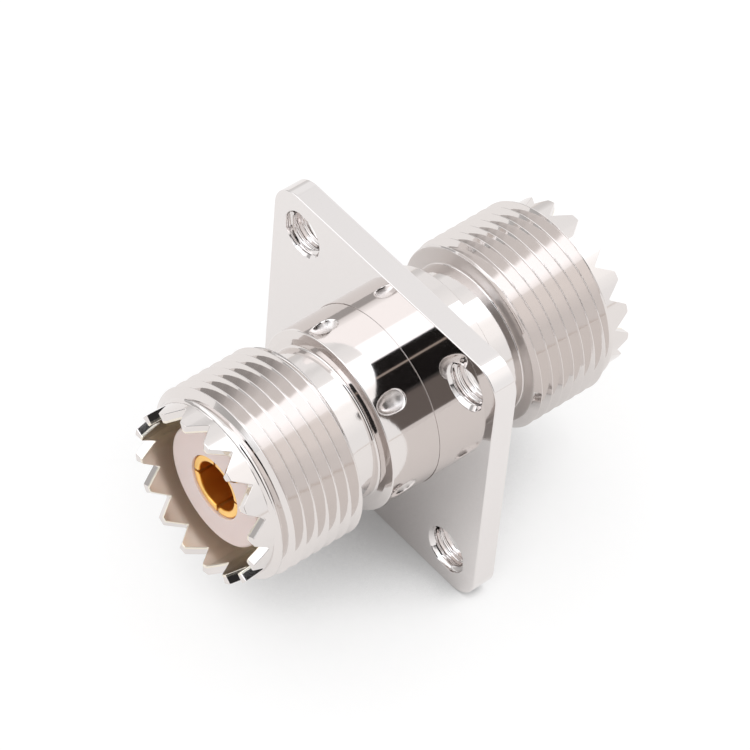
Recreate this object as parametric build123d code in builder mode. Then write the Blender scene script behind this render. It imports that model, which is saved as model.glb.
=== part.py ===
from build123d import *

import os
from math import cos, radians, sin

# Coaxial panel adapter with a coupling socket at each end, millimetres.
# +Y runs along the connector axis from the front mouth to the rear mouth, +Z is up.
# The origin is the centre of the flange's rear face. Angles run from +X towards +Z.

# Square flange plate
flange_size = 25.4
flange_thickness = 2.0
flange_corner_radius = 2.5
hole_edge_distance = 3.35
tap_drill_radius = 1.65
hole_chamfer = 0.35
shell_seat_depth = 0.15

# Centre contact: a tube at each end with four spring fingers, and a collar in the middle
pin_hole_radius = 2.05
contact_wall = 0.6
pin_hole_depth = 12.0
finger_slot_width = 0.45
finger_slot_length = 8.0
finger_slot_angle = 8.0
contact_collar_height = 0.75
contact_collar_width = 2.0
contact_recess = 0.15

# Insulators: a boss towards the mouth and a collar that seats inside the shells
boss_radius = 5.04
boss_edge_chamfer = 0.2
boss_recess = 1.9
seat_width = 0.4

# Shells: walls from the inside out
spigot_wall = 0.8
sleeve_wall = 1.25
neck_wall = 1.15
mouth_radius = 6.3
ring_wall = 0.8
mouth_gap_depth = 4.0

# Shells: lengths outwards from the flange's face
socket_depth = 3.9
spigot_end_gap = 0.2
body_length = 4.5
neck_length = 2.85
thread_length = 7.55
nose_chamfer_length = 0.5
ring_length = 1.85

# Coupling thread, 5/8 inch with 24 turns to the inch, drawn at its crest
thread_radius = 15.875 / 2
thread_start_chamfer = 0.3

# Shoulder between the body and the neck
body_edge_chamfer = 0.12
shoulder_ridge_width = 0.65
shoulder_ridge_rise = 0.17
shoulder_root_rise = 0.24

# Castellated mouth rings
tooth_count = 16
notch_depth = 1.36
notch_width = 2.0
notch_root_width = 0.1
front_tooth_angle = 14.0
rear_tooth_angle = 0.0

# Staking dimples that lock the front shell on the rear shell's spigot
dimple_count = 6
dimple_angle = 49.0
dimple_station = 3.05
dimple_length = 2.4
dimple_floor_length = 1.1
dimple_width = 1.7
dimple_depth = 0.55

# Clearances
press_clearance = 0.02
insulator_clearance = 0.03
boss_clearance = 0.06
cutter_overrun = 0.5

# Radii that follow from the walls and clearances
contact_radius = pin_hole_radius + contact_wall
contact_collar_radius = contact_radius + contact_collar_height
insulator_bore_radius = contact_radius + insulator_clearance
insulator_collar_radius = boss_radius + seat_width
passage_radius = boss_radius + boss_clearance
counterbore_radius = insulator_collar_radius + insulator_clearance
spigot_radius = counterbore_radius + spigot_wall
socket_radius = spigot_radius + press_clearance
body_radius = socket_radius + sleeve_wall
neck_radius = passage_radius + neck_wall
ring_radius = mouth_radius + ring_wall
shell_seat_radius = body_radius + press_clearance
hole_spacing = flange_size - 2 * hole_edge_distance

# Stations outwards from the flange's face, the same on both sides
neck_station = body_length + shoulder_root_rise
thread_start = body_length + neck_length
thread_end = thread_start + thread_length
ring_start = thread_end + nose_chamfer_length
tip_station = ring_start + ring_length
boss_station = tip_station - boss_recess
mouth_floor_station = boss_station - mouth_gap_depth
contact_station = boss_station - contact_recess
middle_station = -flange_thickness / 2
spigot_length = flange_thickness + socket_depth - spigot_end_gap

# Section planes of the two halves: x is the radius, y runs outwards from the flange's face
front_section = Plane(origin=(0, -flange_thickness, 0), x_dir=(1, 0, 0), z_dir=(0, 0, -1))
rear_section = Plane(origin=(0, 0, 0), x_dir=(1, 0, 0), z_dir=(0, 0, 1))


def shell_section(inside):
    """Half section of a shell, with the shared outside closed by the points of its inside."""
    ridge = (neck_radius + shoulder_ridge_width, body_length + shoulder_ridge_rise)
    outside = [
        (body_radius, -shell_seat_depth),
        (body_radius, body_length),
        ridge,
        (neck_radius, neck_station),
        (neck_radius, thread_start),
        (thread_radius - thread_start_chamfer, thread_start),
        (thread_radius, thread_start + thread_start_chamfer),
        (thread_radius, thread_end),
        (ring_radius, ring_start),
        (ring_radius, tip_station),
        (mouth_radius, tip_station),
        (mouth_radius, mouth_floor_station),
        (passage_radius, mouth_floor_station),
    ]
    with BuildSketch() as section:
        with BuildLine():
            Polyline(*outside, *inside, close=True)
        make_face()
        rim = section.vertices().sort_by_distance((body_radius, body_length))[0]
        chamfer(rim, body_edge_chamfer)
    return section.sketch


def notch_planes(tip_y, outward, tooth_angle):
    """Planes across the ring at each notch: x along the rim, y outwards, normal along the radius."""
    pitch = 360 / tooth_count
    planes = []
    for number in range(tooth_count):
        angle = radians(tooth_angle + (number + 0.5) * pitch)
        radial = Vector(cos(angle), 0, sin(angle))
        planes.append(Plane(origin=(0, tip_y, 0), x_dir=outward.cross(radial), z_dir=radial))
    return planes


def notch_section():
    """V notch with its mouth on the line y = 0, carried on past the tips of the teeth."""
    slope = (notch_width - notch_root_width) / 2 / notch_depth
    top_half_width = notch_width / 2 + slope * cutter_overrun
    with BuildSketch() as section:
        with BuildLine():
            Polyline(
                (-notch_root_width / 2, -notch_depth),
                (notch_root_width / 2, -notch_depth),
                (top_half_width, cutter_overrun),
                (-top_half_width, cutter_overrun),
                close=True,
            )
        make_face()
    return section.sketch


def insulator_section():
    """Half section of an insulator, from the middle of the adapter to its boss face."""
    pocket_radius = contact_collar_radius + insulator_clearance
    pocket_station = middle_station + contact_collar_width / 2
    with BuildSketch() as section:
        with BuildLine():
            Polyline(
                (insulator_bore_radius, pocket_station),
                (pocket_radius, pocket_station),
                (pocket_radius, middle_station),
                (insulator_collar_radius, middle_station),
                (insulator_collar_radius, socket_depth),
                (boss_radius, socket_depth),
                (boss_radius, boss_station),
                (insulator_bore_radius, boss_station),
                close=True,
            )
        make_face()
        edge = section.vertices().sort_by_distance((boss_radius, boss_station))[0]
        chamfer(edge, boss_edge_chamfer)
    return section.sketch


# Punch with the form of one staking dimple: a round bar along the axis with tapered ends
punch_radius = ((dimple_width / 2) ** 2 + dimple_depth**2) / (2 * dimple_depth)
punch_taper_length = (dimple_length - dimple_floor_length) / 2 * punch_radius / dimple_depth
with BuildPart() as punch:
    with BuildSketch(Plane.XY):
        with BuildLine():
            Polyline(
                (-dimple_floor_length / 2 - punch_taper_length, 0),
                (-dimple_floor_length / 2, punch_radius),
                (dimple_floor_length / 2, punch_radius),
                (dimple_floor_length / 2 + punch_taper_length, 0),
                close=True,
            )
        make_face()
    revolve(axis=Axis.X)

# Front shell: socket for the spigot, passage for the insulator's boss, open mouth, staking dimples
with BuildPart() as front_shell:
    with BuildSketch(front_section):
        add(shell_section([
            (passage_radius, socket_depth),
            (socket_radius, socket_depth),
            (socket_radius, -shell_seat_depth),
        ]))
    revolve(axis=Axis.Y)
    front_tip_y = -flange_thickness - tip_station
    with BuildSketch(*notch_planes(front_tip_y, Vector(0, -1, 0), front_tooth_angle)):
        add(notch_section())
    extrude(amount=ring_radius + cutter_overrun, mode=Mode.SUBTRACT)
    punch_centre_radius = body_radius - dimple_depth + punch_radius
    with Locations(Plane.XZ.offset(flange_thickness + dimple_station)):
        with PolarLocations(punch_centre_radius, dimple_count, start_angle=dimple_angle):
            add(punch.part, rotation=(0, 90, 0), mode=Mode.SUBTRACT)
front_shell.part.label = "front_shell"

# Rear shell: the same outside, with a spigot that passes through the flange into the front shell
with BuildPart() as rear_shell:
    with BuildSketch(rear_section):
        add(shell_section([
            (passage_radius, socket_depth),
            (counterbore_radius, socket_depth),
            (counterbore_radius, -spigot_length),
            (spigot_radius, -spigot_length),
            (spigot_radius, -shell_seat_depth),
        ]))
    revolve(axis=Axis.Y)
    with BuildSketch(*notch_planes(tip_station, Vector(0, 1, 0), rear_tooth_angle)):
        add(notch_section())
    extrude(amount=ring_radius + cutter_overrun, mode=Mode.SUBTRACT)
rear_shell.part.label = "rear_shell"

# Flange plate: square with rounded corners, four tapped holes, a shallow seat for each shell
with BuildPart() as flange_plate:
    with BuildSketch(Plane.XZ):
        RectangleRounded(flange_size, flange_size, flange_corner_radius)
        Circle(socket_radius, mode=Mode.SUBTRACT)
        with GridLocations(hole_spacing, hole_spacing, 2, 2):
            Circle(tap_drill_radius, mode=Mode.SUBTRACT)
    extrude(amount=flange_thickness)
    chamfer(edges().filter_by(GeomType.CIRCLE).group_by(SortBy.RADIUS)[0], hole_chamfer)
    for face_plane, inward in ((Plane.XZ, 1), (Plane.XZ.offset(flange_thickness), -1)):
        with BuildSketch(face_plane):
            Circle(shell_seat_radius)
        extrude(amount=inward * shell_seat_depth, mode=Mode.SUBTRACT)
flange_plate.part.label = "flange_plate"

# Front insulator
with BuildPart() as front_insulator:
    with BuildSketch(front_section):
        add(insulator_section())
    revolve(axis=Axis.Y)
front_insulator.part.label = "front_insulator"

# Rear insulator, the same piece turned to face the other mouth
with BuildPart() as rear_insulator:
    with BuildSketch(rear_section):
        add(insulator_section())
    revolve(axis=Axis.Y)
rear_insulator.part.label = "rear_insulator"

# Centre contact: one turned piece, drilled and slotted from both ends
front_end = Plane.XZ.offset(flange_thickness + contact_station)
rear_end = Plane.XZ.offset(-contact_station)
with BuildPart() as center_contact:
    with Locations(Plane.XZ.offset(-middle_station)):
        Cylinder(contact_radius, 2 * (contact_station - middle_station))
        Cylinder(contact_collar_radius, contact_collar_width)
    for end_plane, inward in ((front_end, -1), (rear_end, 1)):
        with BuildSketch(end_plane):
            Circle(pin_hole_radius)
        extrude(amount=inward * pin_hole_depth, mode=Mode.SUBTRACT)
    for end_plane, inward in ((front_end, -1), (rear_end, 1)):
        with BuildSketch(end_plane):
            Rectangle(2 * contact_collar_radius, finger_slot_width, rotation=finger_slot_angle)
            Rectangle(finger_slot_width, 2 * contact_collar_radius, rotation=finger_slot_angle)
        extrude(amount=inward * finger_slot_length, mode=Mode.SUBTRACT)
center_contact.part.label = "center_contact"

os.makedirs("parts", exist_ok=True)
export_step(front_shell.part, "parts/front_shell.step")
export_step(rear_shell.part, "parts/rear_shell.step")
export_step(flange_plate.part, "parts/flange_plate.step")
export_step(front_insulator.part, "parts/front_insulator.step")
export_step(rear_insulator.part, "parts/rear_insulator.step")
export_step(center_contact.part, "parts/center_contact.step")
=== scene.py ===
"""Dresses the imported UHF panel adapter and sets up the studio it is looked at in.

Every length inside the functions is in millimetres, and angles round the connector run
from +X towards +Z. A station is the distance outwards from the flange's face.
"""

import math

import bmesh
import bpy
import numpy as np
from bpy.props import FloatProperty, FloatVectorProperty, IntProperty, PointerProperty
from mathutils import Matrix, Vector


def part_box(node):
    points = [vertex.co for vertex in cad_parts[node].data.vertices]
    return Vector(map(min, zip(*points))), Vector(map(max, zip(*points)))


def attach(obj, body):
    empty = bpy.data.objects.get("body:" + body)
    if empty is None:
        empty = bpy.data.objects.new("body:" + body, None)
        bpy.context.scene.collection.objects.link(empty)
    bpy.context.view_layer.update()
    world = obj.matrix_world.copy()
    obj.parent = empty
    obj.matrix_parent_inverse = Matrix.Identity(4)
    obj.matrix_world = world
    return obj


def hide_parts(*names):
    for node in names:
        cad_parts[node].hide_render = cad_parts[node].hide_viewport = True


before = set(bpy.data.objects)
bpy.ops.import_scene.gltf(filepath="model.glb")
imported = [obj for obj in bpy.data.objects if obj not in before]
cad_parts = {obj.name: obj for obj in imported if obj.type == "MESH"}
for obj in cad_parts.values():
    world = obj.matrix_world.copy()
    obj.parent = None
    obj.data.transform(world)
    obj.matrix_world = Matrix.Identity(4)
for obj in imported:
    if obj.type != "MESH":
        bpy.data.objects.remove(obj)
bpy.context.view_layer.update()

bl_info = {
    "name": "UHF Panel Adapter",
    "version": (1, 0, 0),
    "blender": (4, 5, 0),
    "location": "3D View > Sidebar > Adapter",
    "description": "Turned shells, tapped flange, insulators and contact round a packed adapter",
    "category": "Object",
}

MM = 0.001
FLANGE_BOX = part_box("flange_plate")
FLANGE_THICKNESS = (FLANGE_BOX[1].y - FLANGE_BOX[0].y) / MM
HALF_FLANGE = FLANGE_BOX[1].x / MM
TIP_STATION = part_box("rear_shell")[1].y / MM
CONTACT_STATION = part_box("center_contact")[1].y / MM

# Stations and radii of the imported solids, which the dressed pieces follow
SEAT_DEPTH = 0.15
SEAT_RADIUS = 7.56
BODY_RADIUS = 7.54
BODY_END = 4.5
RIDGE_RADIUS = 6.9
RIDGE_STATION = 4.67
NECK_RADIUS = 6.25
NECK_STATION = 4.74
THREAD_START = 7.35
THREAD_END = 14.9
THREAD_CHAMFER = 0.3
RING_START = 15.4
RING_RADIUS = 7.1
MOUTH_RADIUS = 6.3
MOUTH_FLOOR = 11.35
PASSAGE_RADIUS = 5.1
SOCKET_DEPTH = 3.9
SOCKET_RADIUS = 6.29
SPIGOT_RADIUS = 6.27
SPIGOT_END = -5.7
COUNTERBORE_RADIUS = 5.47
BOSS_RADIUS = 5.04
BOSS_STATION = 15.35
COLLAR_RADIUS = 5.44
CONTACT_RADIUS = 2.65
PIN_HOLE_RADIUS = 2.05
PIN_HOLE_DEPTH = 12.0
CONTACT_COLLAR_RADIUS = 3.4
CONTACT_COLLAR_HALF = 1.0
FINGER_SLOT_LENGTH = 8.0
HOLE_CENTRE = 9.35
FLANGE_CORNER_RADIUS = 2.5
FRONT_TOOTH_ANGLE = 14.0
REAR_TOOTH_ANGLE = 0.0
SLOT_ANGLE = 8.0

# Stations where one grid of a shell hands over to the next, and the width of a support strip that
# keeps a flat face's shade up to its edge
SHOULDER_GRID_START = 4.36
NECK_GRID_START = NECK_STATION + 0.5
STEP_GRID_START = 7.05
STEP_GRID_RADIUS = NECK_RADIUS + 0.6
MOUTH_GRID_START = 15.0
STRIP = 0.06

# What mirror surfaces see round the adapter, as levels of light with white at 1. The angle of a
# card's edge is measured round the connector's axis from +X towards +Z.
TENT_SIDE = (1.05, 1.06, 1.07)


def across(degrees, softness, sense=1):
    """A card's edge that runs along the connector at an angle: 1 keeps what lies above it, -1 below."""
    angle = math.radians(degrees)
    return (-sense * math.sin(angle), 0.0, sense * math.cos(angle)), 0.0, softness


# Edges that the front cards share: each is a normal, an offset along it and the width of its border
FRONT_SIDE = ((0.0, -1.0, 0.0), 0.14, 0.1)
FRONT_LIMIT = ((0.0, 1.0, 0.0), -0.86, 0.1)
STUDIO_CARDS = (
    # Upper right side of the tent, brighter towards the top
    ((1.28, 1.28, 1.28), (across(36, 0.6),)),
    # Left side of the tent, with its low part dimmer
    ((1.05, 1.06, 1.07), (((-1.0, 0.0, 0.0), 0.2, 0.5),)),
    ((0.81, 0.81, 0.81), (((0.0, 1.0, 0.0), 0.25, 0.2), across(164, 0.2))),
    # Dark line where the floor ends
    ((0.85, 0.8, 0.76), (((0.0, 0.0, 1.0), 0.0, 0.004), ((0.0, 0.0, -1.0), -0.02, 0.02))),
    # Gap between the tent's top and its left side
    ((0.46, 0.46, 0.46), (((-0.040, -0.871, 0.490), -0.045, 0.07),
                          ((0.040, 0.871, -0.490), -0.16, 0.1),
                          ((-0.882, 0.247, -0.402), 0.43, 0.5))),
    # Overhead panel
    ((1.95, 2.05, 2.15), (((0.882, -0.247, 0.402), 0.06, 0.05), across(71, 0.3))),
    # Bright front left side
    ((1.62, 1.66, 1.7), (FRONT_SIDE, across(117, 0.04), across(158, 0.3, -1))),
    # Low front sides, a little above the floor
    ((1.0, 1.0, 1.0), (FRONT_SIDE, across(5, 0.01, -1))),
    ((0.55, 0.55, 0.55), (FRONT_SIDE, across(165, 0.04), across(184, 0.03, -1))),
    # Stand beside the camera
    ((0.19, 0.17, 0.16), (FRONT_SIDE, FRONT_LIMIT, across(4.5, 0.012), across(42, 0.03, -1))),
    # Dark cloth round and behind the camera
    ((0.012, 0.011, 0.011), (FRONT_SIDE, FRONT_LIMIT, across(40, 0.1), across(89, 0.012, -1))),
    ((0.03, 0.03, 0.03), (((0.0, -1.0, 0.0), 0.53, 0.04), FRONT_LIMIT, across(4.5, 0.03),
                          across(89, 0.012, -1))),
    # Seam in the cloth
    ((0.55, 0.48, 0.43), (FRONT_SIDE, FRONT_LIMIT, across(70.4, 0.01), across(72.4, 0.01, -1))),
)
# Staking dimples: angle, the stations of the steep end and of the long taper's end, width
DIMPLES = ((48.6, 1.76, 4.25, 1.7), (112.3, 1.95, 4.28, 1.6), (169.0, 1.85, 4.25, 1.65),
           (229.0, 1.85, 4.25, 1.65), (289.0, 1.85, 4.25, 1.65), (345.5, 2.0, 4.28, 1.6))


def length(name, description, default_mm):
    """A length property in metres, given in millimetres."""
    return FloatProperty(name=name, description=description, default=default_mm * MM,
                         min=0.0, precision=5, unit="LENGTH", subtype="DISTANCE")


def colour(name, description, hex_code):
    """A colour property from an sRGB hex code, kept as linear values."""
    return FloatVectorProperty(name=name, description=description, default=linear(hex_code),
                               size=3, min=0.0, max=1.0, subtype="COLOR")


def share(name, description, default):
    """A plain number from 0 to 1."""
    return FloatProperty(name=name, description=description, default=default, min=0.0, max=1.0,
                         subtype="FACTOR")


def linear(hex_code):
    """sRGB hex code to linear red, green and blue."""
    channels = [int(hex_code[i:i + 2], 16) / 255 for i in (1, 3, 5)]
    return tuple(c / 12.92 if c <= 0.04045 else ((c + 0.055) / 1.055) ** 2.4 for c in channels)


class ShellSizes(bpy.types.PropertyGroup):
    """Sizes of the two turned shells that the solids leave out or draw more plainly."""
    thread_radius: length("Thread crest", "Radius over the thread's crests", 7.9375)
    thread_pitch: length("Pitch", "Distance between turns, 24 to the inch", 25.4 / 24)
    thread_depth: length("Depth", "From the thread's crest to its root", 0.84)
    crest_width: length("Crest flat", "Width of the flat on each crest", 0.02)
    root_width: length("Root flat", "Width of the flat in each root", 0.01)
    thread_rounding: length("Thread rounding", "Rounding at the crests and roots", 0.04)
    front_phase: share("Front thread phase", "Share of a turn that the front helix is turned by", 0.335)
    rear_phase: share("Rear thread phase", "Share of a turn that the rear helix is turned by", 0.35)
    tooth_count: IntProperty(name="Teeth", description="Teeth round each mouth", default=16, min=4)
    notch_depth: length("Notch depth", "Depth of the cut between two teeth", 1.36)
    notch_width: length("Notch width", "Width of the cut at the tips", 2.0)
    tooth_rounding: length("Tooth rounding", "Rounding along the edges of the teeth", 0.05)
    dimple_depth: length("Dimple depth", "Depth of a dimple in its middle", 0.55)
    dimple_lip: length("Dimple lip", "Rounding of the lip round a dimple", 0.05)


class FlangeSizes(bpy.types.PropertyGroup):
    """Sizes of the flange plate that the solid leaves out."""
    edge_rounding: length("Edge rounding", "Rounding along the plate's outer edges", 0.08)
    tap_radius: length("Tapped hole", "Radius of the tapping drill", 1.65)
    screw_radius: length("Screw", "Nominal radius of the screw thread", 2.0)
    screw_pitch: length("Screw pitch", "Distance between turns in the tapped holes", 0.7)


class Finishes(bpy.types.PropertyGroup):
    """Colours and gloss of the adapter's surfaces."""
    nickel: colour("Nickel", "Colour of the plated shells", "#DFD9D6")
    polished_nickel: colour("Polished nickel", "Colour of the plated flange", "#E4DFDD")
    gold: colour("Gold", "Colour of the plated contact", "#FBCB79")
    insulator: colour("Insulator", "Colour of the white plastic", "#FCE7E2")
    nickel_roughness: share("Nickel roughness", "Gloss of the turned shells", 0.07)
    struck_roughness: share("Struck roughness", "Gloss of the metal inside the staking dimples", 0.45)
    recess_tint: colour("Recess", "Colour of the thin plating inside the mouths", "#EEE6D8")
    recess_roughness: share("Recess roughness", "Gloss of the thin plating inside the mouths", 0.27)
    polish_roughness: share("Polish roughness", "Gloss of the flange's face", 0.035)
    gold_roughness: share("Gold roughness", "Gloss of the contact's outside", 0.3)
    # Painted shade: a deeper, redder gold laid inside the contact's drilled holes
    bore_painted_shade: colour("Bore", "Colour of the gold inside the contact's drilled holes", "#FEB850")
    bore_roughness: share("Bore roughness", "Gloss of the contact's drilled holes", 0.42)
    insulator_roughness: share("Insulator roughness", "Gloss of the plastic", 0.42)


class StudioSettings(bpy.types.PropertyGroup):
    """The floor, the light and the camera."""
    floor_drop: length("Floor drop", "Depth of the floor under the axis", 12.7)
    floor_colour: colour("Floor", "Colour of the paper floor", "#BCBCBC")
    floor_glow: share("Floor glow", "Light added to the floor as it is seen, outside the shadow", 0.56)
    fill_level: share("Fill level", "Strength of the white surroundings on dull surfaces", 1.0)
    lens: FloatProperty(name="Lens", description="Focal length in millimetres", default=229.0,
                        min=10.0)


def to_mm(value):
    """Metres to millimetres."""
    return value / MM


def smooth_ramp(x, width):
    """The ramp that is 0 below 0, x up to 1 and then 1, averaged over a window of that width."""
    def area(t):
        return np.where(t < 0, 0.0, np.where(t < 1, t * t / 2, t - 0.5))
    return (area(x + width / 2) - area(x - width / 2)) / width


def rounded_profile(points, roundings, steps=3, support=0.05):
    """A polyline with an arc at each listed corner: each arc runs tangent to both of its sides.

    A support point is put on the flat beside each arc, so that the flat keeps its own shade.
    """
    rows = []
    count = len(points)
    for i, point in enumerate(points):
        p = np.array(point, float)
        radius = roundings.get(i, 0.0)
        if radius == 0.0 or i == 0 or i == count - 1:
            rows.append(p)
            continue
        a, b = np.array(points[i - 1], float), np.array(points[i + 1], float)
        ua, ub = (a - p) / np.linalg.norm(a - p), (b - p) / np.linalg.norm(b - p)
        half = math.acos(np.clip(ua @ ub, -1, 1)) / 2
        reach = radius / math.tan(half)
        centre = p + (ua + ub) / np.linalg.norm(ua + ub) * radius / math.sin(half)
        start, end = p + ua * reach, p + ub * reach
        if np.linalg.norm(a - p) > reach + 2 * support:
            rows.append(p + ua * (reach + support))
        v0, v1 = start - centre, end - centre
        swing = math.atan2(v0[0] * v1[1] - v0[1] * v1[0], v0 @ v1)
        for k in range(steps + 1):
            t = swing * k / steps
            rows.append(centre + np.array([v0[0] * math.cos(t) - v0[1] * math.sin(t),
                                           v0[0] * math.sin(t) + v0[1] * math.cos(t)]))
        if np.linalg.norm(b - p) > reach + 2 * support:
            rows.append(p + ub * (reach + support))
    return np.array(rows)


def grid_quads(rows, columns, closed=True):
    """Indices of the quads of a grid: each joins two neighbours in a row to those in the next."""
    i, j = np.meshgrid(np.arange(rows - 1), np.arange(columns if closed else columns - 1),
                       indexing="ij")
    near, far = i * columns, (i + 1) * columns
    k = (j + 1) % columns
    return np.stack([near + j, near + k, far + k, far + j], -1).reshape(-1, 4)


def helix_quads(rows, columns, turn_rows):
    """Quads of a grid whose rows climb one turn of rows while they go once round."""
    i, j = np.meshgrid(np.arange(rows - 1), np.arange(columns), indexing="ij")
    last = j == columns - 1
    k = np.where(last, 0, j + 1)
    lift = np.where(last, turn_rows, 0)
    a, b = i + lift, i + 1 + lift
    quads = np.stack([i * columns + j, a * columns + k, b * columns + k, (i + 1) * columns + j], -1)
    return quads[(b >= 0) & (b < rows) & (a >= 0)]


class Surface:
    """Grids of points gathered into one closed mesh, whose shared borders are merged."""

    def __init__(self):
        self.points, self.quads, self.count = [], [], 0

    def add(self, points, quads):
        points = np.asarray(points, float).reshape(-1, 3)
        self.points.append(points)
        self.quads.append(np.asarray(quads) + self.count)
        self.count += len(points)

    def add_grid(self, points, closed=True):
        rows, columns = points.shape[:2]
        self.add(points, grid_quads(rows, columns, closed))

    def arrays(self, tolerance=0.0006):
        """Points with near ones merged, the quads that keep four corners, and the ones left with three."""
        points = np.concatenate(self.points)
        quads = np.concatenate(self.quads)
        keys = np.round(points / tolerance).astype(np.int64)
        _, first, inverse = np.unique(keys, axis=0, return_index=True, return_inverse=True)
        quads = inverse.reshape(-1)[quads]
        same = quads == np.roll(quads, -1, axis=1)
        folded = (quads[:, 0] == quads[:, 2]) | (quads[:, 1] == quads[:, 3])
        whole = quads[(same.sum(1) == 0) & ~folded]
        thin = (same.sum(1) == 1) & ~folded
        keep = np.array([[1, 2, 3], [0, 2, 3], [0, 1, 3], [0, 1, 2]])
        triangles = np.take_along_axis(quads[thin], keep[same[thin].argmax(1)], 1)
        return points[first], whole, triangles


def values_of(items, name, kind=float, width=1):
    """The named value of each item of a mesh, as rows when it has several parts."""
    values = np.empty(len(items) * width, kind)
    items.foreach_get(name, values)
    return values.reshape(-1, width) if width > 1 else values


def make_piece(name, surface, material, node):
    """Turns a closed surface into an object that stands for a node, with its faces outwards.

    A point's normal is the sum of its faces' normals, each weighted by the face's area, so that a
    large flat face keeps its shade up to the small faces of a rounded edge.
    """
    points, quads, triangles = surface.arrays()
    mesh = bpy.data.meshes.new(name)
    corners = np.concatenate([quads.reshape(-1), triangles.reshape(-1)])
    sizes = np.concatenate([np.full(len(quads), 4), np.full(len(triangles), 3)])
    starts = np.concatenate([[0], np.cumsum(sizes)[:-1]])
    mesh.vertices.add(len(points))
    mesh.vertices.foreach_set("co", (points * MM).astype(np.float32).ravel())
    mesh.loops.add(len(corners))
    mesh.loops.foreach_set("vertex_index", corners.astype(np.int32))
    mesh.polygons.add(len(sizes))
    mesh.polygons.foreach_set("loop_start", starts.astype(np.int32))
    mesh.polygons.foreach_set("loop_total", sizes.astype(np.int32))
    mesh.update(calc_edges=True)
    mesh.validate()
    shape = bmesh.new()
    shape.from_mesh(mesh)
    open_edges = sum(not edge.is_manifold for edge in shape.edges)
    if open_edges:
        raise RuntimeError(f"{name} has {open_edges} edges that don't join two faces")
    bmesh.ops.recalc_face_normals(shape, faces=shape.faces)
    shape.to_mesh(mesh)
    shape.free()
    mesh.shade_smooth()
    faces = mesh.polygons
    weighted = values_of(faces, "normal", width=3) * values_of(faces, "area")[:, None]
    normals = np.zeros((len(mesh.vertices), 3))
    np.add.at(normals, values_of(mesh.loops, "vertex_index", np.int32),
              np.repeat(weighted, values_of(faces, "loop_total", np.int32), axis=0))
    normals /= np.linalg.norm(normals, axis=1, keepdims=True)
    mesh.normals_split_custom_set_from_vertices(normals.astype(np.float32))
    mesh.materials.append(material)
    piece = bpy.data.objects.new(name, mesh)
    bpy.context.scene.collection.objects.link(piece)
    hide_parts(node)
    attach(piece, "root")
    return piece


def place(radius, angle, station, outward):
    """Cylinder coordinates to x, y and z: the station runs outwards from that side's flange face."""
    radius, angle, station = np.broadcast_arrays(radius, angle, station)
    y = station if outward > 0 else -FLANGE_THICKNESS - station
    return np.stack([radius * np.cos(angle), y, radius * np.sin(angle)], -1)


def revolve(surface, rows, angles, outward):
    """Turns a profile of radius and station rows round the axis."""
    surface.add_grid(place(rows[:, 0, None], angles[None, :], rows[:, 1, None], outward))


def thread_radius_at(sizes, phase):
    """Radius of the coupling thread: a V of about 60 degrees, with its narrow crest at phase 0."""
    pitch = to_mm(sizes.thread_pitch)
    from_crest = np.abs(phase - np.round(phase)) * pitch
    crest = to_mm(sizes.crest_width)
    flank = (pitch - crest - to_mm(sizes.root_width)) / 2
    ramp = smooth_ramp((from_crest - crest / 2) / flank, to_mm(sizes.thread_rounding) / flank)
    return to_mm(sizes.thread_radius) - to_mm(sizes.thread_depth) * ramp


def helical_patch(columns, start, end, pitch, hand, phase, from_crest, radius_at):
    """Rows that climb along a helix and stop at both ends, with the radius as a function of place.

    A row's station is its own distance from the crest plus one pitch for each turn, held between the
    ends. Its radius comes from the station and from the phase, which is 0 on the crest of the helix.
    """
    turns = columns / (2 * math.pi)
    half_turn = np.append(np.array(from_crest) / pitch, 0.5)
    row_phases = np.concatenate([half_turn, 1 - half_turn[-2:0:-1]])
    first = math.floor((start - phase) / pitch) - 1
    last = math.ceil((end - phase) / pitch) + 1
    heights = np.concatenate([row_phases + k for k in range(first, last + 1)])
    station = np.clip((heights[:, None] + hand * turns[None, :]) * pitch + phase, start, end)
    helix_phase = (station - phase) / pitch - hand * turns[None, :]
    radius = radius_at(station, helix_phase)
    return radius, station, helix_quads(len(heights), len(columns), hand * len(row_phases))


def tooth_columns(sizes, tooth_angle, radius):
    """Angles of the columns round a mouth ring at one radius, and their offset from the notch.

    Near a notch a column keeps its distance from the notch's middle plane at every radius, so that
    the sides of the notch are flat. On the tip of a tooth the columns are spread by angle.
    """
    half_width = to_mm(sizes.notch_width) / 2
    half_pitch = math.pi / sizes.tooth_count
    offsets = np.array([0.04, 0.08, 0.13, 0.5, 0.9, 0.95, 1.0, 1.05]) * half_width
    side = np.arcsin(offsets / radius)
    tip = side[-1] + (half_pitch - side[-1]) * np.array([0.3, 0.75])
    side = np.concatenate([side, tip])
    offset = np.concatenate([offsets, np.full(2, half_width * 1.2)])
    one = np.concatenate([-side[::-1], [0.0], side])
    one_offset = np.concatenate([offset[::-1], [0.0], offset])
    middle = math.radians(tooth_angle) + half_pitch + 2 * half_pitch * np.arange(sizes.tooth_count)
    return (middle[:, None] + one[None, :]).reshape(-1), np.tile(one_offset, sizes.tooth_count)


def notch_drop(sizes, offset):
    """How far the ring's end lies below the tips: a V with straight sides and rounded corners."""
    half_width = to_mm(sizes.notch_width) / 2
    return to_mm(sizes.notch_depth) * (1 - smooth_ramp(offset / half_width - 0.05, 0.1))


def dimple_columns(count):
    """Column angles on the body, drawn together round each dimple, with the same count as the teeth's."""
    per_sector = count // len(DIMPLES)
    close = round(per_sector * 0.64)
    reach = math.radians(7.2)
    middle = np.radians([dimple[0] for dimple in DIMPLES])
    gap = (np.roll(middle, -1) - middle) % (2 * math.pi)
    near = middle[:, None] + reach * np.linspace(-1, 1, close, endpoint=False)
    spread = np.linspace(0, 1, per_sector - close, endpoint=False)
    far = middle[:, None] + reach + (gap[:, None] - 2 * reach) * spread
    return np.concatenate([near, far], axis=1).reshape(-1)


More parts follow.
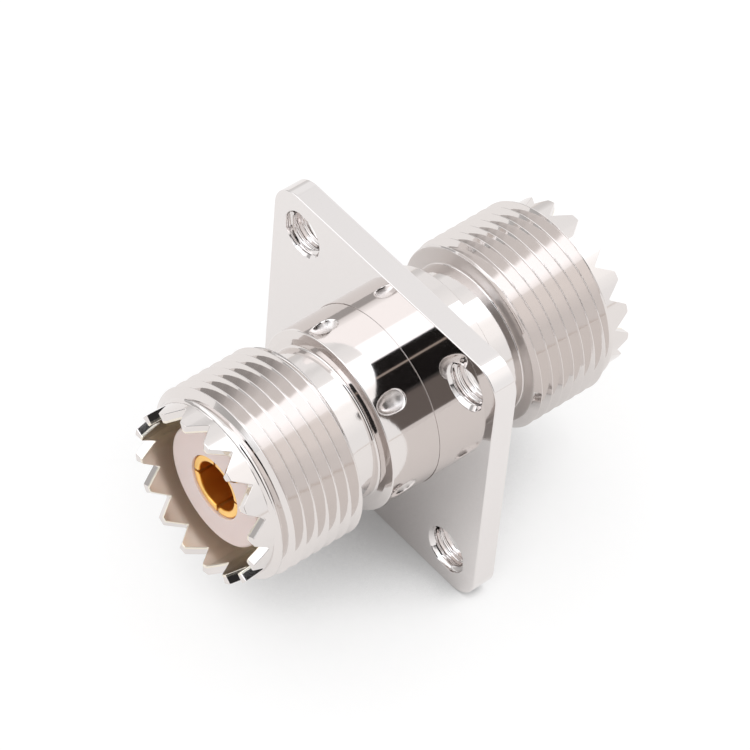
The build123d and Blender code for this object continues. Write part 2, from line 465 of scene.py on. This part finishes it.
def body_radius_at(sizes, angle, station):
    """Radius of the body with its staking dimples.

    Each dimple is the lower side of an ellipsoid pressed in, whose half towards the mouth is longer
    than its half towards the flange. The smaller of body and ellipsoid is taken, with a short round
    where they meet.
    """
    depth, lip = to_mm(sizes.dimple_depth), to_mm(sizes.dimple_lip)
    dent = BODY_RADIUS + 5 * lip
    for degrees, steep_end, taper_end, width in DIMPLES:
        round_b = (width ** 2 / 4 + depth ** 2) / (2 * depth)
        middle = BODY_RADIUS - depth + round_b
        reach = math.sqrt(1 - ((middle - BODY_RADIUS) / round_b) ** 2)
        deepest = steep_end + 0.36 * (taper_end - steep_end)
        along = station - deepest
        round_a = np.where(along < 0, deepest - steep_end, taper_end - deepest) / reach
        swing = (angle - math.radians(degrees) + math.pi) % (2 * math.pi) - math.pi
        inside = round_b ** 2 * (1 - (along / round_a) ** 2) - (middle * np.sin(swing)) ** 2
        pressed = middle * np.cos(swing) - np.sqrt(np.maximum(inside, 0))
        dent = np.where((inside > 0) & (np.cos(swing) > 0), np.minimum(dent, pressed), dent)
    gap = np.clip(0.5 + 0.5 * (BODY_RADIUS - dent) / lip, 0, 1)
    return BODY_RADIUS * (1 - gap) + dent * gap - lip * gap * (1 - gap)


def shell_surface(sizes, outward, tooth_angle, phase, inside, dimples):
    """One turned shell as a closed surface: body, shoulder, neck, thread, ring of teeth and inside."""
    surface = Surface()
    columns, offset = tooth_columns(sizes, tooth_angle, RING_RADIUS)
    inner, _ = tooth_columns(sizes, tooth_angle, MOUTH_RADIUS)
    first = np.argmin(columns % (2 * math.pi))
    columns, offset, inner = (np.roll(values, -first) for values in (columns, offset, inner))
    lift = 2 * math.pi * np.floor(columns / (2 * math.pi) + 1e-12)
    columns, inner = columns - lift, inner - lift
    count = len(columns)

    # Body and shoulder
    body = columns
    if dimples:
        spaced = np.sort(dimple_columns(count) % (2 * math.pi))
        drifts = [np.angle(np.exp(1j * (np.roll(spaced, shift) - columns)))
                  for shift in range(-count // 2, count // 2)]
        body = columns + min(drifts, key=lambda drift: np.abs(drift).mean())
    stations = np.concatenate([[-SEAT_DEPTH, 0.0, 0.6, 1.3],
                               np.linspace(1.66, 4.34, 49) if dimples else [2.5, 4.0],
                               [SHOULDER_GRID_START]])
    radius = body_radius_at(sizes, body[None, :], stations[:, None]) if dimples else BODY_RADIUS
    surface.add_grid(place(radius, body[None, :], stations[:, None], outward))
    shoulder = rounded_profile(
        [(BODY_RADIUS, SHOULDER_GRID_START), (BODY_RADIUS, BODY_END), (RIDGE_RADIUS, RIDGE_STATION),
         (NECK_RADIUS, NECK_STATION), (NECK_RADIUS, NECK_GRID_START)],
        {1: 0.09, 2: 0.3, 3: 0.18}, steps=5, support=0.03)
    revolve(surface, shoulder, body, outward)

    # Neck, where the columns drift from the dimples' spacing to the teeth's
    neck_rows = np.array([NECK_GRID_START, 5.6, 6.0, 6.4, 6.8, STEP_GRID_START])[:, None]
    blend = (neck_rows - NECK_GRID_START) / (STEP_GRID_START - NECK_GRID_START)
    surface.add_grid(place(NECK_RADIUS, body * (1 - blend) + columns * blend, neck_rows, outward))

    # Coupling thread, from the step at the neck to the nose of the ring
    pitch = to_mm(sizes.thread_pitch)
    crest = to_mm(sizes.thread_radius)

    def outside(station, helix_phase):
        """The thread's radius, cut by the chamfer of its first turn and by the nose's cone."""
        start_cone = crest - THREAD_CHAMFER + (station - THREAD_START)
        nose_slope = (crest - RING_RADIUS) / (RING_START - THREAD_END)
        nose_cone = RING_RADIUS + (RING_START - station) * nose_slope
        return np.minimum(np.minimum(thread_radius_at(sizes, helix_phase), start_cone), nose_cone)

    from_crest = [0.0, 0.01, 0.02, 0.03, 0.04, 0.05, 0.1, 0.3, 0.45, 0.504, 0.517]
    radius, station, quads = helical_patch(columns, THREAD_START, RING_START, pitch, -outward,
                                           phase * pitch, from_crest, outside)
    surface.add(place(radius, columns[None, :], station, outward), quads)
    edge = outside(np.full(count, THREAD_START),
                   (THREAD_START - phase * pitch) / pitch + outward * columns / (2 * math.pi))
    step = rounded_profile([(NECK_RADIUS, STEP_GRID_START), (NECK_RADIUS, THREAD_START),
                            (STEP_GRID_RADIUS, THREAD_START)], {1: 0.15}, steps=4)
    revolve(surface, step, columns, outward)
    ends = np.stack([np.full(count, STEP_GRID_RADIUS),
                     np.minimum(edge - 0.03, STEP_GRID_RADIUS + 0.3), edge])
    surface.add_grid(place(ends, columns[None, :], THREAD_START, outward))

    # Ring of teeth: outer wall, rounded tips, inner wall
    edge = to_mm(sizes.tooth_rounding)
    rounding_start = TIP_STATION - notch_drop(sizes, offset) - edge
    below = rounding_start - 0.03
    wall = np.stack([np.full(count, RING_START), np.full(count, RING_START + 0.05),
                     (RING_START + below) / 2, below])
    surface.add_grid(place(RING_RADIUS, columns, wall, outward))
    turn = np.linspace(0, math.pi / 2, 4)[:, None]
    surface.add_grid(np.concatenate([
        place(RING_RADIUS, columns, below[None, :], outward),
        place(RING_RADIUS - edge * (1 - np.cos(turn)), columns, rounding_start + edge * np.sin(turn),
              outward),
        place(MOUTH_RADIUS + edge * (1 - np.sin(turn)), inner, rounding_start + edge * np.cos(turn),
              outward),
        place(MOUTH_RADIUS, inner, below[None, :], outward)]))
    inner_wall = np.stack([below, rounding_start * 0.6 + MOUTH_GRID_START * 0.4,
                           np.full(count, MOUTH_GRID_START)])
    surface.add_grid(place(MOUTH_RADIUS, inner, inner_wall, outward))

    # Inside, from the mouth's wall to the flange's end of the body
    bore = rounded_profile([(MOUTH_RADIUS, MOUTH_GRID_START), (MOUTH_RADIUS, MOUTH_FLOOR),
                            (PASSAGE_RADIUS, MOUTH_FLOOR), (PASSAGE_RADIUS, SOCKET_DEPTH)],
                           {1: 0.15, 2: 0.08})
    revolve(surface, bore, inner, outward)
    revolve(surface, np.array([(PASSAGE_RADIUS, SOCKET_DEPTH), *inside]), inner, outward)
    back = np.stack([place(inside[-1][0], inner, -SEAT_DEPTH, outward),
                     place((inside[-1][0] + BODY_RADIUS) / 2, (inner + body) / 2, -SEAT_DEPTH, outward),
                     place(BODY_RADIUS, body, -SEAT_DEPTH, outward)])
    surface.add_grid(back)
    return surface


def flange_surface(sizes):
    """The flange plate as a closed surface, made of one quarter turned four times.

    A quarter is a grid of two parameters: the angle round its tapped hole, and the share of the way
    from the hole's edge to the quarter's border, which is the seat's arc, two axes and the outline.
    """
    surface = Surface()
    edge = to_mm(sizes.edge_rounding)
    centre = np.array([HOLE_CENTRE, HOLE_CENTRE])
    arc = np.radians(np.linspace(90, 0, 31))
    axis = np.array([SEAT_RADIUS + STRIP, 8.4, 9.4, 10.4, 11.5, HALF_FLANGE - edge - STRIP])
    corner_middle = HALF_FLANGE - FLANGE_CORNER_RADIUS
    swing = np.radians(np.linspace(0, 90, 19))
    # Outline from the +X side's middle round the corner to the +Z side's middle, with its normals
    straight = np.array([0.0, 2.0, 4.0, 6.0, 8.0])
    corner = np.stack([np.cos(swing), np.sin(swing)], -1)
    outline = np.concatenate([np.stack([np.full(5, HALF_FLANGE), straight], -1),
                              corner_middle + FLANGE_CORNER_RADIUS * corner,
                              np.stack([straight[::-1], np.full(5, HALF_FLANGE)], -1)])
    normal = np.concatenate([np.tile([1.0, 0.0], (5, 1)), corner, np.tile([0.0, 1.0], (5, 1))])
    inset = outline - edge * normal
    border = np.concatenate([
        SEAT_RADIUS * np.stack([np.cos(arc), np.sin(arc)], -1),
        np.stack([axis, np.zeros_like(axis)], -1),
        inset,
        np.stack([np.zeros_like(axis), axis[::-1]], -1)])
    ray = border - centre
    ray = ray / np.linalg.norm(ray, axis=1, keepdims=True)
    hole_angle = np.unwrap(np.arctan2(ray[:, 1], ray[:, 0]))
    if hole_angle[-1] < hole_angle[0]:
        hole_angle = hole_angle[::-1]
    hole_angle = hole_angle - 2 * math.pi * math.floor(hole_angle[0] / (2 * math.pi))

    screw, tap, pitch = to_mm(sizes.screw_radius), to_mm(sizes.tap_radius), to_mm(sizes.screw_pitch)
    mouth = screw + 0.02
    half_crest, flank, softness, tap_phase = 0.08, 0.2, 0.3, 0.2
    face = np.stack([centre + mouth * ray, centre + (mouth + STRIP) * ray, border - STRIP * ray, border])

    def tapped(station, helix_phase):
        """The tapped thread's radius, with a countersink of 45 degrees at both faces."""
        from_crest = np.abs(helix_phase - np.round(helix_phase)) * pitch
        groove = (screw - tap) * smooth_ramp((from_crest - half_crest) / flank, softness)
        from_face = np.minimum(station, FLANGE_THICKNESS - station)
        return np.maximum(tap + groove, mouth - from_face)

    radius, station, quads = helical_patch(hole_angle, 0.0, FLANGE_THICKNESS, pitch, -1, tap_phase,
                                           [0.0, 0.06, 0.1, 0.15, 0.2, 0.26, 0.31], tapped)
    hole = np.stack([centre[0] + radius * np.cos(hole_angle)[None, :], -station,
                     centre[1] + radius * np.sin(hole_angle)[None, :]], -1)

    turn = np.linspace(0, math.pi / 2, 5)[:, None, None]
    rim_in = outline - edge * (1 - np.sin(turn)) * normal
    rim_y = -edge * (1 - np.cos(turn)) * np.ones_like(rim_in[..., :1])
    rim = np.concatenate([rim_in[..., :1], rim_y, rim_in[..., 1:]], -1)
    wall = rim[-1:] * [1, 0, 1]
    side = np.concatenate([rim, wall - [0, edge + STRIP, 0],
                           wall + [0, edge + STRIP - FLANGE_THICKNESS, 0],
                           rim[::-1] * [1, -1, 1] - [0, FLANGE_THICKNESS, 0]])
    front_seat = SEAT_DEPTH - FLANGE_THICKNESS
    bore = np.array([(SEAT_RADIUS, 0), (SEAT_RADIUS, -SEAT_DEPTH), (SOCKET_RADIUS, -SEAT_DEPTH),
                     (SOCKET_RADIUS, front_seat), (SEAT_RADIUS, front_seat),
                     (SEAT_RADIUS, -FLANGE_THICKNESS)])
    middle = place(bore[:, 0, None], arc[None, :], bore[:, 1, None], 1)

    for quarter in range(4):
        a = quarter * math.pi / 2
        turn_by = np.array([[math.cos(a), 0, -math.sin(a)], [0, 1, 0], [math.sin(a), 0, math.cos(a)]])
        for y, flipped in ((0.0, False), (-FLANGE_THICKNESS, True)):
            grid = np.stack([face[..., 0], np.full(face.shape[:2], y), face[..., 1]], -1)
            face_quads = grid_quads(len(face), len(border))
            surface.add(grid @ turn_by.T, face_quads[:, ::-1] if flipped else face_quads)
        surface.add(side @ turn_by.T, grid_quads(len(side), len(outline), closed=False))
        surface.add(middle @ turn_by.T, grid_quads(len(middle), len(arc), closed=False))
        surface.add(hole @ turn_by.T, quads)
    return surface


def insulator_surface(outward):
    """An insulator as a closed profile turned round the axis: boss, edge, collar and bore."""
    surface = Surface()
    middle, seam, clearance = -FLANGE_THICKNESS / 2, 8.0, 0.03
    bore, pocket = CONTACT_RADIUS + clearance, CONTACT_COLLAR_RADIUS + clearance
    rows = rounded_profile(
        [(bore, seam), (bore, BOSS_STATION), (BOSS_RADIUS, BOSS_STATION), (BOSS_RADIUS, SOCKET_DEPTH),
         (COLLAR_RADIUS, SOCKET_DEPTH), (COLLAR_RADIUS, middle), (pocket, middle),
         (pocket, middle + CONTACT_COLLAR_HALF), (bore, middle + CONTACT_COLLAR_HALF), (bore, seam)],
        {1: 0.05, 2: 0.22}, steps=6)
    angles = np.linspace(0, 2 * math.pi, 192, endpoint=False)
    revolve(surface, rows, angles, outward)
    return surface


def contact_surface():
    """The contact as one closed surface: a drilled tube at each end, slotted into four fingers.

    Columns keep their distance from the slots' middle planes. Rows inside and outside of a tube match,
    so that the sides of a slot are flat strips between them.
    """
    surface = Surface()
    half_slot = 0.13
    per_finger = 24
    tip_round = 0.14
    collar_end = CONTACT_COLLAR_HALF - FLANGE_THICKNESS / 2

    def finger_angles(radius):
        """Angles of the columns of each of the four fingers, from slot side to slot side."""
        start = np.arcsin(half_slot / radius)
        spread = np.linspace(0, 1, per_finger)
        one = start + (math.pi / 2 - 2 * start) * spread
        return math.radians(SLOT_ANGLE) + math.pi / 2 * np.arange(4)[:, None] + one[None, :]

    tip, bottom = CONTACT_STATION, CONTACT_STATION - FINGER_SLOT_LENGTH
    turn = np.linspace(0, math.pi / 2, 5)
    stations = np.concatenate([[bottom, bottom + 4, tip - 1, tip - tip_round - 0.05],
                               tip - tip_round + tip_round * np.sin(turn)])[:, None]
    shrink = np.concatenate([np.zeros(4), tip_round * (1 - np.cos(turn))])[:, None]
    outer_angles, inner_angles = finger_angles(CONTACT_RADIUS), finger_angles(PIN_HOLE_RADIUS)
    for outward in (-1, 1):
        for finger in range(4):
            outer = place(CONTACT_RADIUS - shrink, outer_angles[finger], stations, outward)
            inner = place(PIN_HOLE_RADIUS + shrink, inner_angles[finger], stations, outward)
            surface.add_grid(np.concatenate([outer, inner[::-1]]), closed=False)
            for side in (0, -1):
                surface.add_grid(np.stack([outer[:, side], inner[:, side]]), closed=False)
            ahead = (finger + 1) % 4
            slot_end = [place(radius, [angles[finger][-1], angles[ahead][0]], bottom, outward)
                        for radius, angles in ((CONTACT_RADIUS, outer_angles),
                                               (PIN_HOLE_RADIUS, inner_angles))]
            surface.add_grid(np.stack(slot_end), closed=False)
        collar = np.array([(CONTACT_RADIUS, bottom), (CONTACT_RADIUS, collar_end),
                           (CONTACT_COLLAR_RADIUS, collar_end),
                           (CONTACT_COLLAR_RADIUS, -FLANGE_THICKNESS / 2)])
        revolve(surface, collar, outer_angles.reshape(-1), outward)
        hole_end = tip - PIN_HOLE_DEPTH
        hole = np.array([(PIN_HOLE_RADIUS, bottom), (PIN_HOLE_RADIUS, hole_end), (1.0, hole_end),
                         (0.0, hole_end)])
        revolve(surface, hole, inner_angles.reshape(-1), outward)
    return surface


def add_node(tree, kind, settings=None, **links):
    """Adds a shader node, sets its properties and input values, and links its named inputs.

    A link is made from an output, or from the first output of a node.
    """
    node = tree.nodes.new("ShaderNode" + kind)
    for key, value in (settings or {}).items():
        if isinstance(key, str) and hasattr(node, key):
            setattr(node, key, value)
        else:
            node.inputs[key].default_value = value
    for key, source in links.items():
        numbered = key[0] == "i" and key[1:].isdigit()
        output = source.outputs[0] if isinstance(source, bpy.types.Node) else source
        tree.links.new(output, node.inputs[int(key[1:]) if numbered else key.replace("_", " ")])
    return node


def new_material(name):
    """An empty node material, with its tree."""
    material = bpy.data.materials.new(name)
    material.use_nodes = True
    tree = material.node_tree
    tree.nodes.clear()
    return material, tree


def radius_and_y(tree):
    """The distance from the connector's axis, and the place along it, from the Object coordinates."""
    split = add_node(tree, "SeparateXYZ", Vector=add_node(tree, "TexCoord").outputs["Object"])
    x, y, z = split.outputs
    x_squared = add_node(tree, "Math", {"operation": "MULTIPLY"}, i0=x, i1=x)
    squared = add_node(tree, "Math", {"operation": "MULTIPLY_ADD"}, i0=z, i1=z, i2=x_squared)
    return add_node(tree, "Math", {"operation": "SQRT"}, i0=squared), y


def turning_marks(tree, radius, y, depth_mm, spacing_mm):
    """Fine rings left by the turning tool: noise along the axis and the radius, the same all round."""
    rings = add_node(tree, "CombineXYZ", X=radius, Y=y)
    noise = add_node(tree, "TexNoise", {"Scale": 1 / (spacing_mm * MM), "Detail": 2.0, "Roughness": 0.6},
                     Vector=rings)
    return add_node(tree, "Bump", {"Strength": 1.0, "Distance": depth_mm * MM},
                    Height=noise.outputs["Fac"])


def turned_nickel(finishes):
    """Bright nickel plate over turned brass.

    The warm grey metal's gloss is broken by fine rings. It is satin where the punch bit into the
    staking dimples and on the faced step where a thread starts. Inside the mouths the plating is thin
    and dull, so that the brass tints it.
    """
    material, tree = new_material("turned nickel plate")
    radius, y = radius_and_y(tree)
    bump = turning_marks(tree, radius, y, 0.0006, 0.12)
    half_thickness = FLANGE_THICKNESS / 2
    dimple_middle, half_band = -5.05, 1.45
    taper_y, steep_y = -5.7, -4.9
    # Inside the dimples, and there only on the side towards the flange
    sunk = add_node(tree, "MapRange", {"From Min": (BODY_RADIUS - 0.04) * MM,
                                       "From Max": (BODY_RADIUS - 0.16) * MM}, Value=radius)
    on_body = add_node(tree, "Math", {"operation": "COMPARE", 1: dimple_middle * MM, 2: half_band * MM}, i0=y)
    steep = add_node(tree, "MapRange", {"From Min": taper_y * MM, "From Max": steep_y * MM}, Value=y)
    struck = sunk
    for limit in (on_body, steep):
        struck = add_node(tree, "Math", {"operation": "MULTIPLY"}, i0=struck, i1=limit)
    # The faced step, on both sides of the flange's middle
    from_middle = add_node(tree, "Math", {"operation": "ADD", 1: half_thickness * MM}, i0=y)
    from_middle = add_node(tree, "Math", {"operation": "ABSOLUTE"}, i0=from_middle)
    on_step = add_node(tree, "Math",
                       {"operation": "COMPARE", 1: (THREAD_START + half_thickness) * MM, 2: 0.05 * MM},
                       i0=from_middle)
    satin = add_node(tree, "Math", {"operation": "MAXIMUM"}, i0=struck, i1=on_step)
    roughness = add_node(tree, "MapRange", {"To Min": finishes.nickel_roughness,
                                            "To Max": finishes.struck_roughness}, Value=satin)
    # Inside the mouths
    within = add_node(tree, "Math", {"operation": "LESS_THAN", 1: (MOUTH_RADIUS + 0.2) * MM}, i0=radius)
    outer_part = add_node(tree, "Math", {"operation": "GREATER_THAN", 1: (MOUTH_FLOOR - 0.35) * MM},
                          i0=from_middle)
    recess = add_node(tree, "Math", {"operation": "MULTIPLY"}, i0=within, i1=outer_part)
    tint = add_node(tree, "Mix", {"data_type": "RGBA", 6: (*finishes.nickel, 1),
                                  7: (*finishes.recess_tint, 1)}, i0=recess)
    dull = add_node(tree, "MapRange", {"To Max": finishes.recess_roughness}, Value=recess)
    roughness = add_node(tree, "Math", {"operation": "MAXIMUM"}, i0=roughness, i1=dull)
    shader = add_node(tree, "BsdfPrincipled", {"Metallic": 1.0}, Base_Color=tint.outputs[2],
                      Roughness=roughness, Normal=bump)
    add_node(tree, "OutputMaterial", Surface=shader)
    return material


def mirror_nickel(finishes):
    """Nickel over a polished plate: a near mirror, with a faint haze that varies over some millimetres."""
    material, tree = new_material("polished nickel plate")
    place_of = add_node(tree, "TexCoord").outputs["Object"]
    noise = add_node(tree, "TexNoise", {"Scale": 1 / (3 * MM), "Detail": 3.0}, Vector=place_of)
    haze = add_node(tree, "MapRange", {"To Min": finishes.polish_roughness * 0.7,
                                       "To Max": finishes.polish_roughness * 1.5},
                    Value=noise.outputs["Fac"])
    shader = add_node(tree, "BsdfPrincipled", {"Base Color": (*finishes.polished_nickel, 1),
                                               "Metallic": 1.0}, Roughness=haze)
    add_node(tree, "OutputMaterial", Surface=shader)
    return material


def gold_plate(finishes):
    """Gold plate over turned brass: satin with fine rings, and duller in the drilled holes, where a deeper,
    redder gold is painted as shade.
    """
    material, tree = new_material("gold plate")
    radius, y = radius_and_y(tree)
    bump = turning_marks(tree, radius, y, 0.0008, 0.08)
    outside = add_node(tree, "MapRange", {"From Min": (PIN_HOLE_RADIUS + 0.01) * MM,
                                          "From Max": (PIN_HOLE_RADIUS + 0.05) * MM}, Value=radius)
    roughness = add_node(tree, "MapRange", {"To Min": finishes.bore_roughness,
                                            "To Max": finishes.gold_roughness}, Value=outside)
    # Painted shade: the drilled holes get a deeper, redder gold than the outside
    tint = add_node(tree, "Mix", {"data_type": "RGBA", 6: (*finishes.bore_painted_shade, 1),
                                  7: (*finishes.gold, 1)}, i0=outside)
    shader = add_node(tree, "BsdfPrincipled", {"Metallic": 1.0}, Base_Color=tint.outputs[2],
                      Roughness=roughness, Normal=bump)
    add_node(tree, "OutputMaterial", Surface=shader)
    return material


def white_plastic(finishes):
    """Turned white fluoropolymer: waxy, slightly translucent, with faint tool rings."""
    material, tree = new_material("white fluoropolymer")
    bump = turning_marks(tree, *radius_and_y(tree), 0.002, 0.15)
    shader = add_node(tree, "BsdfPrincipled",
                      {"Base Color": (*finishes.insulator, 1), "Roughness": finishes.insulator_roughness,
                       "IOR": 1.35, "Subsurface Weight": 0.25, "Subsurface Radius": (0.6, 0.45, 0.4),
                       "Subsurface Scale": MM}, Normal=bump)
    add_node(tree, "OutputMaterial", Surface=shader)
    return material


def finished(name, make):
    """The named material, made the first time that a piece asks for it."""
    return bpy.data.materials.get(name) or make(bpy.context.scene.adapter_finishes)


class ADAPTER_OT_front_shell(bpy.types.Operator):
    """Makes the front shell with its thread, teeth and staking dimples"""
    bl_idname = "adapter.front_shell"
    bl_label = "Front shell"

    def execute(self, context):
        sizes = context.scene.adapter_shell
        inside = [(SOCKET_RADIUS, SOCKET_DEPTH), (SOCKET_RADIUS, -SEAT_DEPTH)]
        surface = shell_surface(sizes, -1, FRONT_TOOTH_ANGLE, sizes.front_phase, inside, True)
        make_piece("front_shell_turned", surface,
                   finished("turned nickel plate", turned_nickel), "front_shell")
        return {"FINISHED"}


class ADAPTER_OT_rear_shell(bpy.types.Operator):
    """Makes the rear shell with its thread, teeth and spigot"""
    bl_idname = "adapter.rear_shell"
    bl_label = "Rear shell"

    def execute(self, context):
        sizes = context.scene.adapter_shell
        inside = [(COUNTERBORE_RADIUS, SOCKET_DEPTH), (COUNTERBORE_RADIUS, SPIGOT_END),
                  (SPIGOT_RADIUS, SPIGOT_END), (SPIGOT_RADIUS, -SEAT_DEPTH)]
        surface = shell_surface(sizes, 1, REAR_TOOTH_ANGLE, sizes.rear_phase, inside, False)
        make_piece("rear_shell_turned", surface,
                   finished("turned nickel plate", turned_nickel), "rear_shell")
        return {"FINISHED"}


class ADAPTER_OT_flange(bpy.types.Operator):
    """Makes the polished flange with its four tapped holes"""
    bl_idname = "adapter.flange"
    bl_label = "Flange"

    def execute(self, context):
        make_piece("flange_polished", flange_surface(context.scene.adapter_flange),
                   finished("polished nickel plate", mirror_nickel), "flange_plate")
        return {"FINISHED"}


class ADAPTER_OT_insulators(bpy.types.Operator):
    """Makes both insulators"""
    bl_idname = "adapter.insulators"
    bl_label = "Insulators"

    def execute(self, context):
        for outward, node in ((-1, "front_insulator"), (1, "rear_insulator")):
            make_piece(node + "_turned", insulator_surface(outward),
                       finished("white fluoropolymer", white_plastic), node)
        return {"FINISHED"}


class ADAPTER_OT_contact(bpy.types.Operator):
    """Makes the gold-plated contact with its spring fingers"""
    bl_idname = "adapter.contact"
    bl_label = "Contact"

    def execute(self, context):
        make_piece("contact_slotted", contact_surface(), finished("gold plate", gold_plate),
                   "center_contact")
        return {"FINISHED"}


class ADAPTER_OT_stage(bpy.types.Operator):
    """Makes the floor, the surroundings and the camera"""
    bl_idname = "adapter.stage"
    bl_label = "Stage"

    def execute(self, context):
        studio = context.scene.adapter_studio
        make_floor(studio)
        make_surroundings(context.scene, studio)
        make_camera(context.scene, studio)
        context.scene.view_settings.view_transform = "Standard"
        return {"FINISHED"}


def seen_by_eye_or_mirror(tree):
    """A number that is 1 for rays that show a surface to the camera, in a mirror or through glass."""
    path = add_node(tree, "LightPath")
    shown = path.outputs["Is Camera Ray"]
    for kind in ("Is Glossy Ray", "Is Transmission Ray"):
        shown = add_node(tree, "Math", {"operation": "MAXIMUM"}, i0=shown, i1=path.outputs[kind])
    return path, shown


def make_floor(studio):
    """A paper floor, over-exposed to white as in a product photograph, except where the object shades it.

    Its own colour gives part of the light. A glow gives the rest, only as the floor is seen, and only
    as far as the floor under the object is open to the surroundings.
    """
    mesh = bpy.data.meshes.new("floor")
    reach, z = 6.0, -studio.floor_drop
    corners = [(-reach, -reach, z), (reach, -reach, z), (reach, reach, z), (-reach, reach, z)]
    mesh.from_pydata(corners, [], [(0, 1, 2, 3)])
    floor = bpy.data.objects.new("floor", mesh)
    bpy.context.scene.collection.objects.link(floor)
    material, tree = new_material("white paper")
    _, shown = seen_by_eye_or_mirror(tree)
    openness = add_node(tree, "AmbientOcclusion", {"samples": 16, "Distance": 100 * MM})
    lifted = add_node(tree, "MapRange", {"From Min": 0.2, "From Max": 0.53, "To Max": studio.floor_glow},
                      Value=openness.outputs["AO"])
    glow = add_node(tree, "Math", {"operation": "MULTIPLY"}, i0=shown, i1=lifted)
    shader = add_node(tree, "BsdfPrincipled",
                      {"Base Color": (*studio.floor_colour, 1), "Roughness": 0.9, "Specular IOR Level": 0.0,
                       "Emission Color": (1, 1, 1, 1)}, Emission_Strength=glow)
    add_node(tree, "OutputMaterial", Surface=shader)
    mesh.materials.append(material)


def studio_card(tree, direction, light, colour, edges):
    """Lays a card over the light that comes from the directions inside all of its straight edges.

    Each edge is a plane: its normal, its offset along the normal, and the width of its soft border.
    """
    inside = None
    for normal, offset, softness in edges:
        along = add_node(tree, "VectorMath", {"operation": "DOT_PRODUCT", 1: normal}, i0=direction)
        side = add_node(tree, "MapRange", {"interpolation_type": "SMOOTHSTEP",
                                           "From Min": offset - softness / 2,
                                           "From Max": offset + softness / 2},
                        Value=along.outputs["Value"])
        inside = side if inside is None else add_node(tree, "Math", {"operation": "MULTIPLY"},
                                                      i0=inside, i1=side)
    return add_node(tree, "Mix", {"data_type": "RGBA", 7: (*colour, 1)}, i0=inside, i6=light).outputs[2]


def make_surroundings(scene, studio):
    """A bright tent for mirrors: an overhead panel, pale sides and dark cards on the camera's side.

    Dull surfaces are lit by plain white all round, and the camera sees white behind the object.
    """
    world = bpy.data.worlds.new("studio")
    scene.world = world
    world.use_nodes = True
    tree = world.node_tree
    tree.nodes.clear()
    direction = add_node(tree, "TexCoord").outputs["Generated"]
    light = add_node(tree, "RGB").outputs[0]
    light.default_value = (*TENT_SIDE, 1)
    for colour, edges in STUDIO_CARDS:
        light = studio_card(tree, direction, light, colour, edges)
    path, shown = seen_by_eye_or_mirror(tree)
    mirror = add_node(tree, "Math", {"operation": "SUBTRACT"}, i0=shown, i1=path.outputs["Is Camera Ray"])
    fill = add_node(tree, "MapRange", {"To Min": studio.fill_level, "To Max": 1.0},
                    Value=path.outputs["Is Camera Ray"])
    plain = add_node(tree, "CombineColor", i0=fill, i1=fill, i2=fill)
    seen = add_node(tree, "Mix", {"data_type": "RGBA"}, i0=mirror, i6=plain, i7=light)
    back = add_node(tree, "Background", {"Strength": 1.0}, Color=seen.outputs[2])
    add_node(tree, "OutputWorld", Surface=back)


def make_camera(scene, studio):
    """The camera at the photograph's viewing angle, 358 mm from the flange's front face."""
    camera = bpy.data.cameras.new("camera")
    camera.lens = studio.lens
    camera.sensor_width = 36.0
    camera.clip_start, camera.clip_end = 0.01, 20.0
    seat = bpy.data.objects.new("camera", camera)
    scene.collection.objects.link(seat)
    right = Vector((0.6381, 0.7675, 0.0619))
    back = Vector((0.4771, -0.4572, 0.7506)).normalized()
    up = back.cross(right).normalized()
    right = up.cross(back)
    seat.matrix_world = Matrix((
        (right.x, up.x, back.x, 0.16977), (right.y, up.y, back.y, -0.16483),
        (right.z, up.z, back.z, 0.26929), (0, 0, 0, 1)))
    scene.camera = seat


class ADAPTER_PT_panel(bpy.types.Panel):
    """Lists the adapter's pieces and their sizes"""
    bl_idname = "ADAPTER_PT_panel"
    bl_label = "Panel adapter"
    bl_space_type = "VIEW_3D"
    bl_region_type = "UI"
    bl_category = "Adapter"

    def draw(self, context):
        layout = self.layout
        for operator in PIECES:
            layout.operator(operator.bl_idname)
        for group in GROUPS:
            box = layout.box()
            settings = getattr(context.scene, group)
            for name in settings.bl_rna.properties.keys():
                if name not in ("rna_type", "name"):
                    box.prop(settings, name)


PIECES = (ADAPTER_OT_front_shell, ADAPTER_OT_rear_shell, ADAPTER_OT_flange, ADAPTER_OT_insulators,
          ADAPTER_OT_contact, ADAPTER_OT_stage)
GROUPS = {"adapter_shell": ShellSizes, "adapter_flange": FlangeSizes, "adapter_finishes": Finishes,
          "adapter_studio": StudioSettings}
CLASSES = (*GROUPS.values(), *PIECES, ADAPTER_PT_panel)


def register():
    for item in CLASSES:
        bpy.utils.register_class(item)
    for name, group in GROUPS.items():
        setattr(bpy.types.Scene, name, PointerProperty(type=group))


def unregister():
    for name in GROUPS:
        delattr(bpy.types.Scene, name)
    for item in reversed(CLASSES):
        bpy.utils.unregister_class(item)


def main():
    register()
    bpy.ops.adapter.front_shell()
    bpy.ops.adapter.rear_shell()
    bpy.ops.adapter.flange()
    bpy.ops.adapter.insulators()
    bpy.ops.adapter.contact()
    bpy.ops.adapter.stage()


if __name__ == "__main__":
    main()
